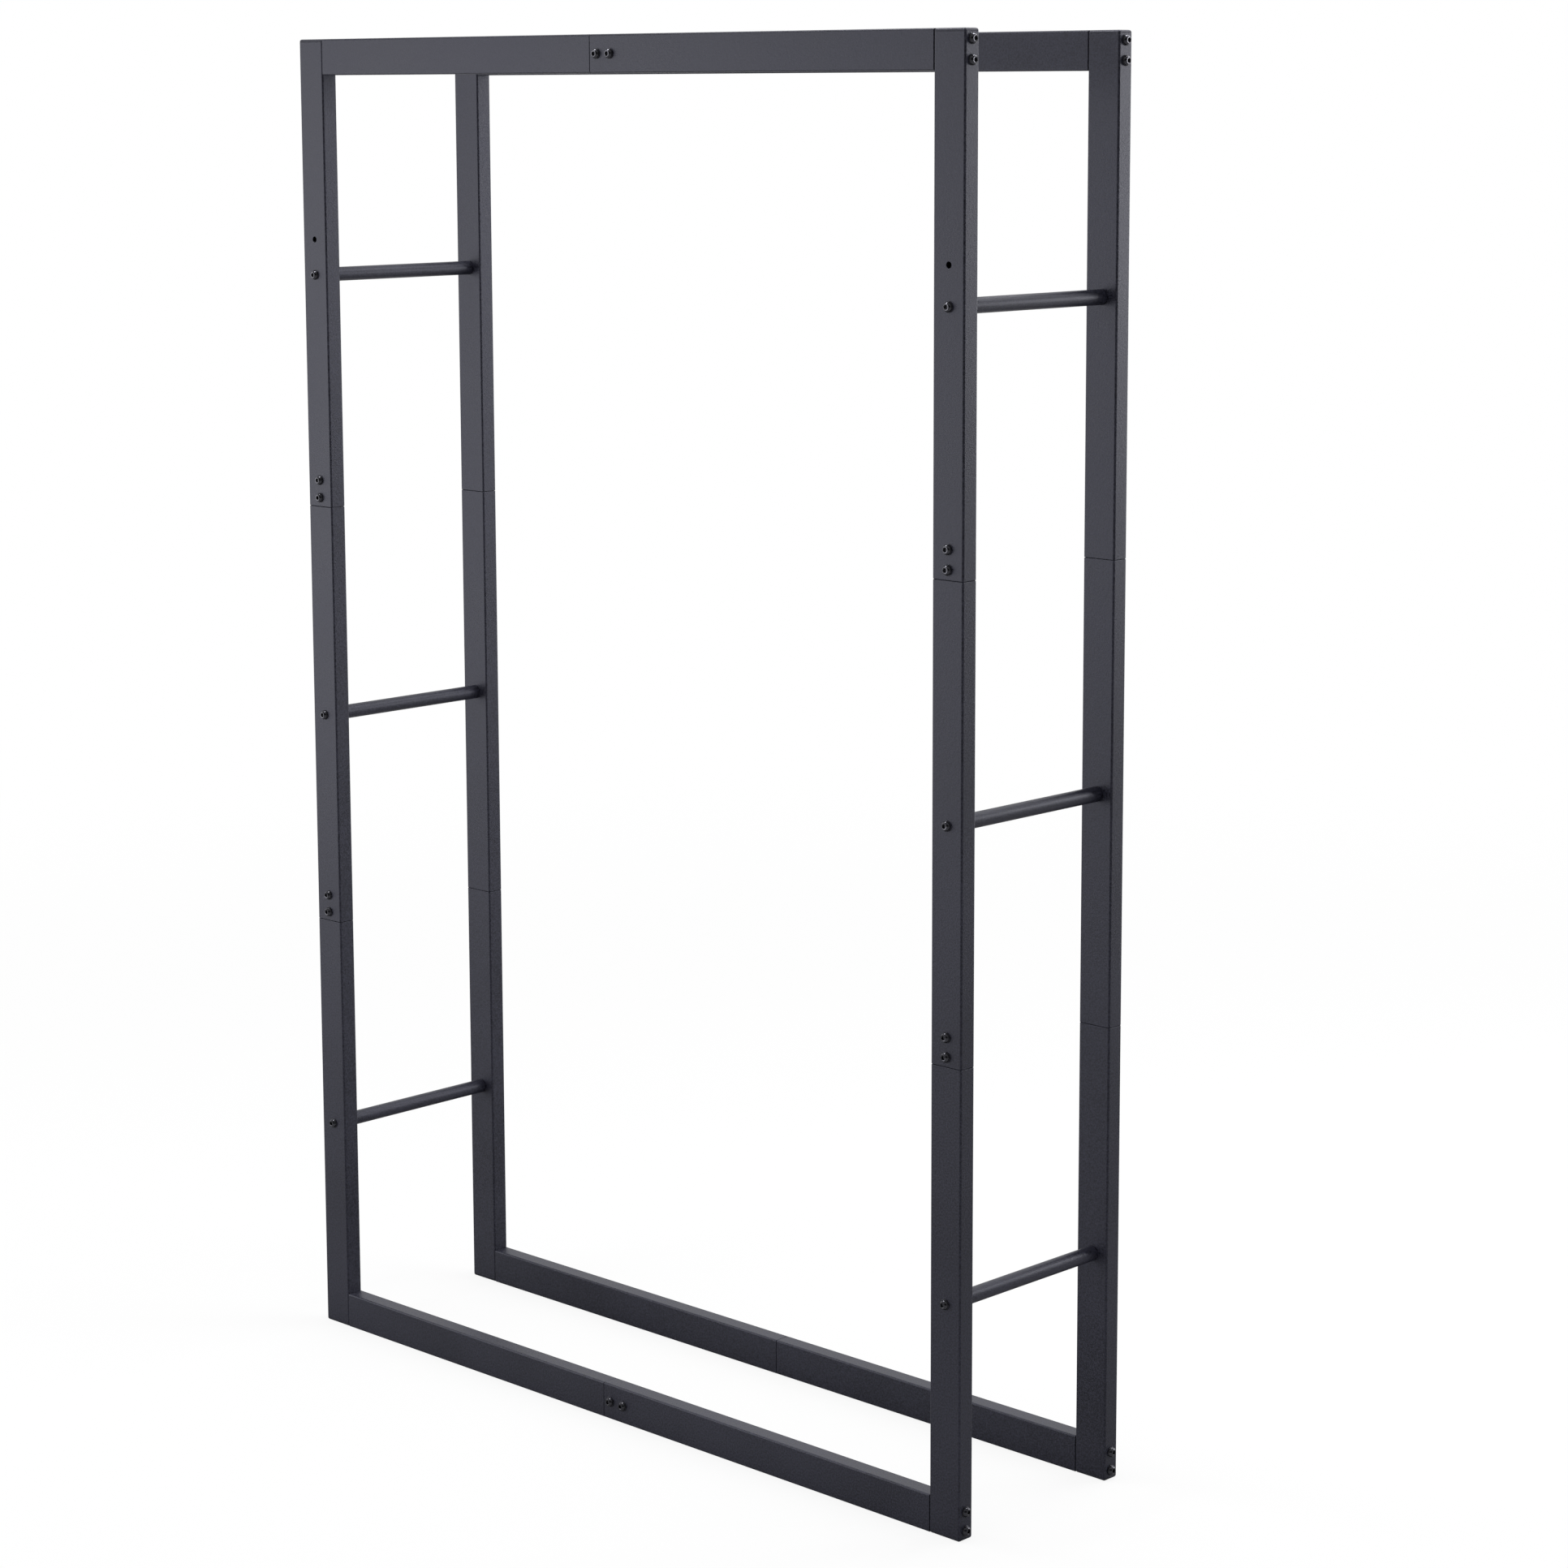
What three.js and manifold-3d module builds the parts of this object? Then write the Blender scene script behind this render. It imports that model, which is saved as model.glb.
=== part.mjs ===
// Firewood log rack: two upright frames of rectangular steel tube, held apart by six round rungs.
// Everything is bolted: posts and rails slip together on reduced tube ends (spigots), rails are
// bolted through the posts, and each rung is bolted between a front post and a back post.
//
// Millimetres, +Z up. The origin is on the floor, at the middle of the footprint, and the front
// frame faces -Y. The back frame is the same frame, turned half a turn about Z.
import * as THREE from "three";
import { mergeVertices } from "three/addons/utils/BufferGeometryUtils.js";
import Module from "manifold-3d";

const wasm = await Module();
wasm.setup();

// ---------- Driving dimensions ----------

const rack = { width: 1000, depth: 250, height: 1500 }; // over the tubes and the end caps
const tube = { face: 40, side: 20, wall: 1, corner: 2 }; // face: seen from the front, side: across it
const spigot = { length: 40, shoulder: 0.8, wall: 1 }; // reduced end that slips into the next tube
const rung = { diameter: 16, wall: 1.2, plug: 15, blind: 3 }; // tube, with a threaded plug in each end
const spareHole = { diameter: 6.5, aboveRung: 40 };

const bolt = {
  thread: 6, // M6 button head screw, on a small plain washer
  head: 10.5,
  headHeight: 3.3,
  crown: 6.6, // flat top of the head
  washer: 11,
  washerThickness: 1,
  pitch: 20, // from one bolt of a pair to the other
  tip: 3, // how far a bolt stands out behind its nut plate
};
const nutPlate = { width: 12, thickness: 3, end: 6 }; // in a spigot; end: past the centre of a bolt
const endPlate = { thickness: 4 }; // closes the end of a rail
const cap = { flange: 2.8, edge: 2.5, skirtWall: 1.5, bead: 0.4 }; // edge: radius around the flange

const fit = {
  gap: 0.3, // between faces that meet
  slide: 0.3, // around a piece that sits inside a tube
  hole: 0.3, // around a bolt
};

// Sides of the round pieces, and steps of each rounded corner: of a tube outside and inside, and of
// the edge of a cap
const facets = { head: 8, shank: 6, hole: 12, rung: 12, corner: 2, bore: 1, edge: 3 };

// ---------- Places that follow from them ----------

// A pair of bolts is centred on what it holds: a rail between its edges, or a spigot from its seam.
const pair = (length) => [(length - bolt.pitch) / 2, (length + bolt.pitch) / 2];
const railBolts = pair(tube.face);
const spliceBolts = pair(spigot.length - fit.gap);

const halfWidth = rack.width / 2;
const halfDepth = rack.depth / 2;
const postX = halfWidth - tube.face / 2;
const postY = halfDepth - tube.side / 2;

// Three equal tubes make a post. Each of the lower two ends in a spigot inside the next one.
const postStart = cap.flange + fit.gap;
const postStack = rack.height - 2 * postStart;
const postTube = (postStack + 2 * (spigot.length - fit.gap)) / 3;
const postStep = postTube - spigot.length + fit.gap;
const levels = ["lower", "middle", "upper"];
const seams = [postStart, postStart + postStep, postStart + 2 * postStep];

// Each rung sits halfway up the part of its tube that shows.
const rungHeights = levels.map((_, i) => {
  const bottom = i === 0 ? 0 : seams[i];
  const top = i === 2 ? rack.height : seams[i + 1];
  return (bottom + top) / 2;
});
const rungLength = rack.depth - 2 * (tube.side + fit.gap);

// Two equal tubes make a rail between the posts.
const railStart = -halfWidth + tube.face + fit.gap;
const railTube = (-2 * railStart + spigot.length - fit.gap) / 2;
const railStep = railTube - spigot.length + fit.gap;
const railHeights = [["bottom", tube.face / 2], ["top", rack.height - tube.face / 2]];

// ---------- Solids ----------

// The outline of the tube at height z, counter-clockwise, moved in by a distance on all sides. Its
// corners get tighter as far as the bore, and what sits in the bore keeps the bore's corners.
function section(z, inset = 0, steps = facets.corner) {
  const radius = tube.corner - Math.min(inset, tube.wall);
  const x = tube.face / 2 - inset - radius;
  const y = tube.side / 2 - inset - radius;
  const points = [];
  [[x, y], [-x, y], [-x, -y], [x, -y]].forEach((centre, quarter) => {
    for (let i = 0; i <= steps; i++) {
      const angle = (quarter + i / steps) * (Math.PI / 2);
      const arc = new THREE.Vector2(radius * Math.cos(angle), radius * Math.sin(angle));
      points.push(arc.add(new THREE.Vector2(...centre)));
    }
  });
  return { z, points };
}

// Solid skinned through outlines that have as many points as each other, with flat ends
function loft(sections) {
  const count = sections[0].points.length;
  const last = sections.length - 1;
  const positions = sections.flatMap(({ z, points }) => points.flatMap((p) => [p.x, p.y, z]));
  const index = [];
  for (let band = 0; band < last; band++) {
    const low = band * count;
    const high = low + count;
    for (let i = 0; i < count; i++) {
      const j = (i + 1) % count;
      index.push(low + i, low + j, high + j, low + i, high + j, high + i);
    }
  }
  const { triangulateShape } = THREE.ShapeUtils;
  for (const [a, b, c] of triangulateShape(sections[0].points, [])) index.push(c, b, a);
  for (const face of triangulateShape(sections[last].points, [])) {
    index.push(...face.map((corner) => last * count + corner));
  }
  const geometry = new THREE.BufferGeometry();
  geometry.setAttribute("position", new THREE.Float32BufferAttribute(positions, 3));
  geometry.setIndex(index);
  return geometry;
}

// Solid of revolution about Z, from [radius, z] pairs that run upwards
function revolve(profile, sides) {
  const points = profile.map(([radius, z]) => new THREE.Vector2(radius, z));
  return new THREE.LatheGeometry(points, sides).rotateX(Math.PI / 2).rotateZ(Math.PI / sides);
}

// Straight round bar about Z, centred on the origin
function bar(diameter, length, sides = facets.shank) {
  const cylinder = new THREE.CylinderGeometry(diameter / 2, diameter / 2, length, sides);
  return cylinder.rotateX(Math.PI / 2).rotateZ(Math.PI / sides);
}

// ---------- Joining and cutting ----------

function toSolid(geometry) {
  const bare = geometry.clone();
  bare.deleteAttribute("normal");
  bare.deleteAttribute("uv");
  const merged = mergeVertices(bare, 1e-4);
  return new wasm.Manifold(
    new wasm.Mesh({
      numProp: 3,
      vertProperties: new Float32Array(merged.attributes.position.array),
      triVerts: new Uint32Array(merged.index.array),
    }),
  );
}

function toGeometry(solid) {
  const mesh = solid.getMesh();
  const geometry = new THREE.BufferGeometry();
  geometry.setAttribute("position", new THREE.BufferAttribute(mesh.vertProperties, 3));
  geometry.setIndex(new THREE.BufferAttribute(mesh.triVerts, 1));
  return geometry;
}

function cut(geometry, tools) {
  return toGeometry(tools.reduce((solid, tool) => solid.subtract(toSolid(tool)), toSolid(geometry)));
}

function join(pieces) {
  return toGeometry(pieces.map(toSolid).reduce((whole, piece) => whole.add(piece)));
}

// ---------- Tubes ----------

// Holes in a tube that stands on its lower end. A front hole goes through the -Y wall alone, a
// through hole through both of the walls that it meets.
const boltHole = bolt.thread + 2 * fit.hole;
function frontHole(z, diameter = boltHole, sides = facets.shank) {
  return bar(diameter, tube.side / 2, sides).rotateX(Math.PI / 2).translate(0, -tube.side / 2, z);
}
function throughFront(z) {
  return bar(boltHole, 2 * tube.side).rotateX(Math.PI / 2).translate(0, 0, z);
}
function throughSides(z) {
  return bar(boltHole, 2 * tube.face).rotateY(Math.PI / 2).translate(0, 0, z);
}

// Plain length of tube
function plainTube(length, holes) {
  const bore = [-length, 2 * length].map((z) => section(z, tube.wall, facets.bore));
  return cut(loft([section(0), section(length)]), [loft(bore), ...holes]);
}

// Tube whose upper end is reduced, over a sloping shoulder, to a spigot that slips into the next
// tube. The bolt holes of the splice are in the front of the spigot.
function spigotTube(length, holes) {
  const inset = tube.wall + fit.slide;
  const neck = length - spigot.length;
  const slope = neck - spigot.shoulder;
  const outside = [section(0), section(slope), section(neck, inset), section(length, inset)];
  const bore = [
    section(-length, tube.wall, facets.bore),
    section(slope - spigot.wall, tube.wall, facets.bore),
    section(neck - spigot.wall, inset + spigot.wall, facets.bore),
    section(2 * length, inset + spigot.wall, facets.bore),
  ];
  const boltHoles = spliceBolts.map((z) => frontHole(neck + fit.gap + z));
  return cut(loft(outside), [loft(bore), ...holes, ...boltHoles]);
}

function postGeometry(level) {
  const start = seams[level];
  const holes = [throughFront(rungHeights[level] - start)];
  if (level > 0) holes.push(...spliceBolts.map((z) => frontHole(z)));
  if (level === 0) holes.push(...railBolts.map((z) => throughSides(z - start)));
  if (level < 2) return spigotTube(postTube, holes);
  const spare = rungHeights[level] + spareHole.aboveRung - start;
  holes.push(frontHole(spare, spareHole.diameter, facets.hole));
  holes.push(...railBolts.map((z) => throughSides(rack.height - z - start)));
  return plainTube(postTube, holes);
}

function railGeometry(end) {
  if (end === 0) return spigotTube(railTube, []);
  return plainTube(railTube, spliceBolts.map((z) => frontHole(z)));
}

// ---------- End caps ----------

// Moulded plug, standing on its outer face: a flange as wide as the tube, with a rounded edge, and
// a hollow skirt with a bead that grips the tube. The skirt stops short of the first rail bolt.
function capGeometry() {
  const beadInset = tube.wall + fit.slide;
  const skirt = beadInset + cap.bead;
  const skirtEnd = railBolts[0] - bolt.thread / 2 - fit.hole;
  const beadStart = (cap.flange + skirtEnd) / 2;
  const edge = [];
  for (let step = 0; step <= facets.edge; step++) {
    const angle = (step / facets.edge) * (Math.PI / 2);
    edge.push(section(cap.edge * (1 - Math.cos(angle)), cap.edge * (1 - Math.sin(angle))));
  }
  return loft([
    ...edge,
    section(cap.flange),
    section(cap.flange, skirt),
    section(beadStart, skirt),
    section(beadStart, beadInset),
    section(skirtEnd, skirt),
    section(skirtEnd, skirt + cap.skirtWall),
    section(cap.flange, skirt + cap.skirtWall),
  ]);
}

// ---------- Bolts, nut plates and rungs ----------

// M6 bolt with its washer. The washer rests on Z = 0, and the shank reaches down to -reach.
function boltGeometry(reach) {
  const seat = bolt.washerThickness;
  const head = [
    [0, 0],
    [bolt.washer / 2, 0],
    [bolt.washer / 2, seat],
    [bolt.head / 2, seat],
    [bolt.crown / 2, seat + bolt.headHeight],
    [0, seat + bolt.headHeight],
  ];
  const shank = bar(bolt.thread, reach + seat).translate(0, 0, (seat - reach) / 2);
  return join([revolve(head, facets.head), shank]);
}

// Nut plate behind the front wall of a spigot, with its pair of bolts. Y = 0 is the front face of
// the tube, and Z = 0 is the seam.
function spliceGeometry() {
  const wallFace = tube.wall + fit.slide + spigot.wall;
  const plateFace = wallFace + fit.gap;
  const length = bolt.pitch + 2 * nutPlate.end;
  const plate = new THREE.BoxGeometry(nutPlate.width, nutPlate.thickness, length);
  const reach = fit.gap + plateFace + nutPlate.thickness + bolt.tip;
  const bolts = spliceBolts.map((z) => {
    return boltGeometry(reach).rotateX(Math.PI / 2).translate(0, -fit.gap, z);
  });
  const middle = (spigot.length - fit.gap) / 2;
  return join([plate.translate(0, plateFace + nutPlate.thickness / 2, middle), ...bolts]);
}

// Threaded plate in the end of a rail, with the pair of bolts that reach it through the post.
// X = 0 is the inner face of the post, and the rail runs towards +X.
function cornerGeometry() {
  const inset = tube.wall + fit.slide;
  const plate = [fit.gap, fit.gap + endPlate.thickness].map((z) => section(z, inset, facets.bore));
  const reach = 2 * fit.gap + tube.face + endPlate.thickness + bolt.tip;
  const bolts = [-1, 1].map((end) => {
    const head = boltGeometry(reach).rotateY(-Math.PI / 2);
    return head.translate(-tube.face - fit.gap, 0, (end * bolt.pitch) / 2);
  });
  return join([loft(plate).rotateY(Math.PI / 2), ...bolts]);
}

// Threaded plug in the front end of a rung, with the bolt that reaches it through the post. The plug
// is blind: its last few millimetres stay whole. Y = 0 is the front face of the post.
function rungBoltGeometry(plugDiameter) {
  const plugStart = tube.side + fit.gap;
  const plug = bar(plugDiameter, rung.plug, facets.rung).rotateX(Math.PI / 2);
  const screw = boltGeometry(fit.gap + plugStart + rung.plug - rung.blind).rotateX(Math.PI / 2);
  return join([plug.translate(0, plugStart + rung.plug / 2, 0), screw.translate(0, -fit.gap, 0)]);
}

// Round tube with its back bolt and plug in place, centred between the posts
function rungGeometry() {
  const bore = rung.diameter - 2 * rung.wall;
  const outer = bar(rung.diameter, rungLength, facets.rung);
  const inner = bar(bore, 2 * rungLength, facets.rung);
  const back = rungBoltGeometry(rung.diameter - rung.wall).rotateZ(Math.PI);
  return join([cut(outer, [inner]).rotateX(Math.PI / 2), back.translate(0, halfDepth, 0)]);
}

// ---------- Materials ----------

const looks = {
  powderCoat: { color: 0x25252d, roughness: 0.46, metalness: 0 },
  blackSteel: { color: 0x5d5d5f, roughness: 0.2, metalness: 1 },
  greyPlastic: { color: 0x24252c, roughness: 0.45, metalness: 0 },
};

function piece(name, geometry, look) {
  const mesh = new THREE.Mesh(geometry, new THREE.MeshStandardMaterial(looks[look]));
  mesh.name = name;
  return mesh;
}

// ---------- Assembly ----------

// One post: three tubes with their splices, a foot and a cap. The group's origin is on the floor,
// on the axis of the post.
function makePost(place, shapes) {
  const post = new THREE.Group();
  levels.forEach((level, i) => {
    const segment = piece(`post_${place}_${level}`, shapes.posts[i], "powderCoat");
    segment.position.z = seams[i];
    post.add(segment);
    if (i === 0) return;
    const bolts = piece(`splice_${place}_${levels[i - 1]}`, shapes.splice, "blackSteel");
    bolts.position.set(0, -tube.side / 2, seams[i]);
    post.add(bolts);
  });
  const foot = piece(`foot_${place}`, shapes.cap, "greyPlastic");
  const top = piece(`cap_${place}`, shapes.cap, "greyPlastic");
  top.position.z = rack.height;
  top.rotation.x = Math.PI;
  post.add(foot, top);
  return post;
}

// One rail: two tubes with their splice, and a corner fixing at each end. Local Z runs along the
// rail, and the group turns it to world X.
function makeRail(place, ends, shapes) {
  const rail = new THREE.Group();
  const seam = railStart + railStep;
  const first = piece(`rail_${place}_${ends[0]}`, shapes.rails[0], "powderCoat");
  const second = piece(`rail_${place}_${ends[1]}`, shapes.rails[1], "powderCoat");
  const bolts = piece(`splice_rail_${place}`, shapes.splice, "blackSteel");
  first.position.z = railStart;
  second.position.z = seam;
  bolts.position.set(0, -tube.side / 2, seam);
  rail.add(first, second, bolts);
  rail.rotation.y = Math.PI / 2;
  return rail;
}

// One upright frame, facing -Y. sides names its ends from -X to +X.
function makeFrame(face, sides, shapes) {
  const frame = new THREE.Group();
  sides.forEach((side, end) => {
    const direction = end === 0 ? -1 : 1;
    const post = makePost(`${face}_${side}`, shapes);
    post.position.set(direction * postX, -postY, 0);
    frame.add(post);
    for (const [height, z] of railHeights) {
      const corner = piece(`corner_${face}_${side}_${height}`, shapes.corner, "blackSteel");
      corner.position.set(direction * (halfWidth - tube.face), -postY, z);
      corner.rotation.z = end === 0 ? 0 : Math.PI;
      frame.add(corner);
    }
  });
  for (const [height, z] of railHeights) {
    const rail = makeRail(`${face}_${height}`, sides, shapes);
    rail.position.set(0, -postY, z);
    frame.add(rail);
  }
  return frame;
}

function makeRack() {
  const shapes = {
    posts: levels.map((_, i) => postGeometry(i)),
    rails: [railGeometry(0), railGeometry(1)],
    cap: capGeometry(),
    splice: spliceGeometry(),
    corner: cornerGeometry(),
    rung: rungGeometry(),
    rungBolt: rungBoltGeometry(rung.diameter - 2 * rung.wall - 2 * fit.slide),
  };
  const group = new THREE.Group();
  const front = makeFrame("front", ["left", "right"], shapes);
  const back = makeFrame("back", ["right", "left"], shapes);
  back.rotation.z = Math.PI;
  group.add(front, back);

  for (const [side, x] of [["left", -postX], ["right", postX]]) {
    levels.forEach((level, i) => {
      const tubeRung = piece(`rung_${side}_${level}`, shapes.rung, "powderCoat");
      tubeRung.position.set(x, 0, rungHeights[i]);
      const bolts = piece(`rung_bolt_${side}_${level}`, shapes.rungBolt, "blackSteel");
      bolts.position.set(x, -halfDepth, rungHeights[i]);
      group.add(tubeRung, bolts);
    });
  }
  return group;
}

export default makeRack();
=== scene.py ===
# %% [markdown]
# # A firewood log rack
# The rack is two upright frames of rectangular steel tube, one behind the other, held apart by six
# round rungs. Every joint is bolted: tubes slip into each other on reduced ends, rails are bolted
# through the posts, and rungs are bolted between the posts. This lesson gives that bare frame its
# finished look, one kind of part at a time.
#
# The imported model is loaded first. It is the fixed frame that says where everything goes, so no
# place on the rack is typed in by hand: each one is measured from a part's own box.

import math

import bpy
from mathutils import Matrix, Vector


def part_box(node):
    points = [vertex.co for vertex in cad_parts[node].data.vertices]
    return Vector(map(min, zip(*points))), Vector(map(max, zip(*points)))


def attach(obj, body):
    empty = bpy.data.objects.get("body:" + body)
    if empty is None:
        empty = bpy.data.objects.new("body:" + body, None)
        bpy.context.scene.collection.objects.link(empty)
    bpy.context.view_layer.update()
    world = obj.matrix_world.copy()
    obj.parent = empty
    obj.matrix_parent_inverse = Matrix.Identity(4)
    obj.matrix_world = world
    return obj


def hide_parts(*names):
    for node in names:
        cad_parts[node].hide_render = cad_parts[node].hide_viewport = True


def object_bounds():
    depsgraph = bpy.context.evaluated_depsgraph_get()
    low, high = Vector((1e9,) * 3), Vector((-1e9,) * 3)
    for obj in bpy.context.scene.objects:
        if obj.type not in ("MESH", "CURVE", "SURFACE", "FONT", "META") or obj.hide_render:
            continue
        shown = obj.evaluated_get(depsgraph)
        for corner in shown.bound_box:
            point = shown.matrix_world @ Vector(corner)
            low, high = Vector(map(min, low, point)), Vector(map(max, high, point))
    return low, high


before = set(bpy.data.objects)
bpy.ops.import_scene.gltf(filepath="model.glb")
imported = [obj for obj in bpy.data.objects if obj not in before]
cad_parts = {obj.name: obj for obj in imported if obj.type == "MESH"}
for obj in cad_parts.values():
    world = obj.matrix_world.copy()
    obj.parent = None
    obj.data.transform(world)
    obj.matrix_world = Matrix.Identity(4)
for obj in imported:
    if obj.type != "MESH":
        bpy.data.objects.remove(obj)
cad_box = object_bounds()
scene = bpy.context.scene
print("parts:", len(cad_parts), "box:", *cad_box)

# %% [markdown]
# ## The sizes of the tube
# All posts and rails are cut from one tube, so its sizes are read once from a post: how wide it is
# across the face and across the side. The wall, the corner radius, the play between pieces and the
# pitch of the screws are typed in, because a box can't tell them. Lengths are in metres, so a
# millimetre is given a name.

# %% Measure the tube
MM = 0.001


def middle(box):
    """The centre of a (lowest corner, highest corner) pair."""
    return (box[0] + box[1]) / 2


post_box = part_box("post_front_left_lower")
FACE = post_box[1].x - post_box[0].x
SIDE = post_box[1].y - post_box[0].y
WALL = 1 * MM
CORNER = 2 * MM
GAP = 0.3 * MM  # play between faces that meet, and around a piece inside a tube
PITCH = 20 * MM  # from one screw of a pair to the other
print(f"tube {FACE / MM:.1f} x {SIDE / MM:.1f} mm")

# %% [markdown]
# ## The camera
# A long lens from the right of the front, almost as high as the rack is tall, keeps the uprights
# nearly parallel. The lens is shifted down a little instead of tilted more, as with a view camera,
# which is what keeps the verticals of furniture straight.

# %% Place the camera
AZIMUTH, TILT, ROLL = (math.radians(angle) for angle in (44.13, 8.68, -0.173))
CAMERA_PLACE = Vector((2.855, -2.801, 1.442))
SENSOR, LENS = 36, 85.49  # in millimetres, as Blender wants them
SHIFT = -0.08  # of the sensor's width


def set_camera(place, azimuth, tilt, roll):
    """A camera at place that looks back down the direction given by azimuth and tilt."""
    data = bpy.data.cameras.new("camera")
    data.sensor_width, data.lens, data.shift_y = SENSOR, LENS, SHIFT
    camera = bpy.data.objects.new("camera", data)
    out = Vector((
        math.sin(azimuth) * math.cos(tilt),
        -math.cos(azimuth) * math.cos(tilt),
        math.sin(tilt),
    ))
    across = Vector((math.cos(azimuth), math.sin(azimuth), 0))
    turn = Matrix((across, out.cross(across), out)).transposed() @ Matrix.Rotation(roll, 3, "Z")
    camera.matrix_world = Matrix.Translation(place) @ turn.to_4x4()
    scene.collection.objects.link(camera)
    scene.camera = camera
    return camera


camera = set_camera(CAMERA_PLACE, AZIMUTH, TILT, ROLL)
print("camera to rack:", round((camera.location - middle(cad_box)).length, 2), "m")

# %% [markdown]
# ## Node trees as Python
# Shaders and Geometry Nodes are both networks of small steps. Clicking them together is quick for
# one, but a rack wants many that are nearly the same, so here they are written as expressions. A
# `Value` wraps one socket, and arithmetic on it adds Math nodes. Every other node comes from
# `add`, which sets the node up and then fills its sockets.

# %% Values that do arithmetic
class Value:
    """A socket that a node gives out. Arithmetic on it adds Math nodes to its tree."""

    def __init__(self, socket):
        self.socket = socket
        self.tree = socket.id_data

    def maths(self, operation, *values):
        return add(self.tree, "ShaderNodeMath", {"operation": operation}, dict(enumerate(values)))

    def __add__(self, other):
        return self.maths("ADD", self, other)

    def __sub__(self, other):
        return self.maths("SUBTRACT", self, other)

    def __rsub__(self, other):
        return self.maths("SUBTRACT", other, self)

    def __mul__(self, other):
        return self.maths("MULTIPLY", self, other)

    def __truediv__(self, other):
        return self.maths("DIVIDE", self, other)

    def __rtruediv__(self, other):
        return self.maths("DIVIDE", other, self)

    def __mod__(self, other):
        return self.maths("MODULO", self, other)

    def __pow__(self, other):
        return self.maths("POWER", self, other)

    def __gt__(self, other):
        return self.maths("GREATER_THAN", self, other)

    __radd__ = __add__
    __rmul__ = __mul__

    def floor(self):
        return self.maths("FLOOR", self)

    def cos(self):
        return self.maths("COSINE", self)

    def sin(self):
        return self.maths("SINE", self)

    def least(self, other):
        return self.maths("MINIMUM", self, other)

    def most(self, other):
        return self.maths("MAXIMUM", self, other)


# %% One way to add any node
def add(tree, kind, settings=None, sockets=None, output=0):
    """Adds a node, sets it up, then fills its sockets with values or links. Gives one output, or
    nothing where the node has none."""
    node = tree.nodes.new(kind)
    for name, setting in (settings or {}).items():
        if name == "choices":
            while len(node.index_switch_items) < setting:
                node.index_switch_items.new()
        else:
            setattr(node, name, setting)
    for key, value in (sockets or {}).items():
        if isinstance(value, Value):
            tree.links.new(value.socket, node.inputs[key])
        else:
            node.inputs[key].default_value = value
    return Value(node.outputs[output]) if len(node.outputs) else None


# %% [markdown]
# ## The floor, the room and the lamps
# Bare steel furniture is lit by soft walls of light, one on each side of the camera, with the
# camera's own side of the room left dark. A face that turns away from the camera then mirrors a
# light wall, while a rounded corner that points at the camera mirrors the dark, and draws itself
# as a thin dark line. The same set is built here: a tall wall of light on the left, a smaller and
# brighter one on the right, and a weak one low down behind it. A fourth hangs high behind the rack
# and looks down on it, for the upper half of the round rungs, and two small lamps overhead put a
# bright dot on every screw.
#
# A matt surface gathers light from the whole room, so for it the room is evenly lit. Only what
# the gloss mirrors is shaded: dark where the camera stands, dim to the sides and white behind the
# rack, where the floor turns pale as well. The Light Path node tells the two apart.
#
# The background is white because camera rays that miss the rack are told to find white. The floor
# does the same in part, so it stays pale but still takes the rack's shadow.

# %% White backdrop, and what the gloss mirrors
WHITE = (1, 1, 1, 1)
ROOM_LIGHT = 1.1  # on the matt faces
ROOM_DARK, ROOM_SIDES = 0.03, 0.3  # mirrored from the camera's side, and added beside it
SIDES_START, SIDES_FULL = 0.92, 0.60  # how far forward, from 1 to -1, the sides come in
BEHIND_START, BEHIND_FULL = 0.20, -0.75  # and the white behind the rack does


def direction_from(azimuth, slope=0.0):
    """Unit vector towards an azimuth: 0 is -Y, the front, and 90 degrees is +X, the right."""
    return Vector((math.sin(azimuth), -math.cos(azimuth), slope)).normalized()


def distance_along(tree, place, way):
    """How far a place lies in a direction."""
    settings = {"operation": "DOT_PRODUCT"}
    return add(tree, "ShaderNodeVectorMath", settings, {0: place, 1: way}, "Value")


def ease(tree, value, start, end, low, high):
    """Goes from low to high, with soft ends, while the value goes from start to end."""
    sockets = {"Value": value, "From Min": start, "From Max": end, "To Min": low, "To Max": high}
    return add(tree, "ShaderNodeMapRange", {"interpolation_type": "SMOOTHSTEP"}, sockets)


def light_paths(tree):
    """Is it a camera ray, is it a glossy ray, is it a transmission ray: three values of 0 or 1."""
    kinds = ("Is Camera Ray", "Is Glossy Ray", "Is Transmission Ray")
    return [add(tree, "ShaderNodeLightPath", output=kind) for kind in kinds]


def make_room():
    """The world: white to the camera, shaded in the gloss, and even for everything else."""
    world = bpy.data.worlds.new("room")
    world.use_nodes = True
    tree = world.node_tree
    tree.nodes.clear()
    way = add(tree, "ShaderNodeTexCoord", output="Generated")
    forward = distance_along(tree, way, direction_from(AZIMUTH))
    beside = ease(tree, forward, SIDES_START, SIDES_FULL, 0.0, ROOM_SIDES)
    behind = ease(tree, forward, BEHIND_START, BEHIND_FULL, 0.0, 1 - ROOM_SIDES)
    seen, glossy, passing = light_paths(tree)
    mirrored = glossy.most(passing)
    strength = mirrored * (beside + behind + ROOM_DARK) + (1 - mirrored) * ROOM_LIGHT
    light = add(tree, "ShaderNodeBackground", {}, {"Color": WHITE, "Strength": strength})
    white = add(tree, "ShaderNodeBackground", {}, {"Color": WHITE, "Strength": 1.0})
    mixed = add(tree, "ShaderNodeMixShader", {}, {0: seen, 1: light, 2: white})
    add(tree, "ShaderNodeOutputWorld", {}, {"Surface": mixed})
    scene.world = world


make_room()
print("room:", ROOM_LIGHT, "on matt,", ROOM_DARK, "to", 1 + ROOM_DARK, "in the gloss")

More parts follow.
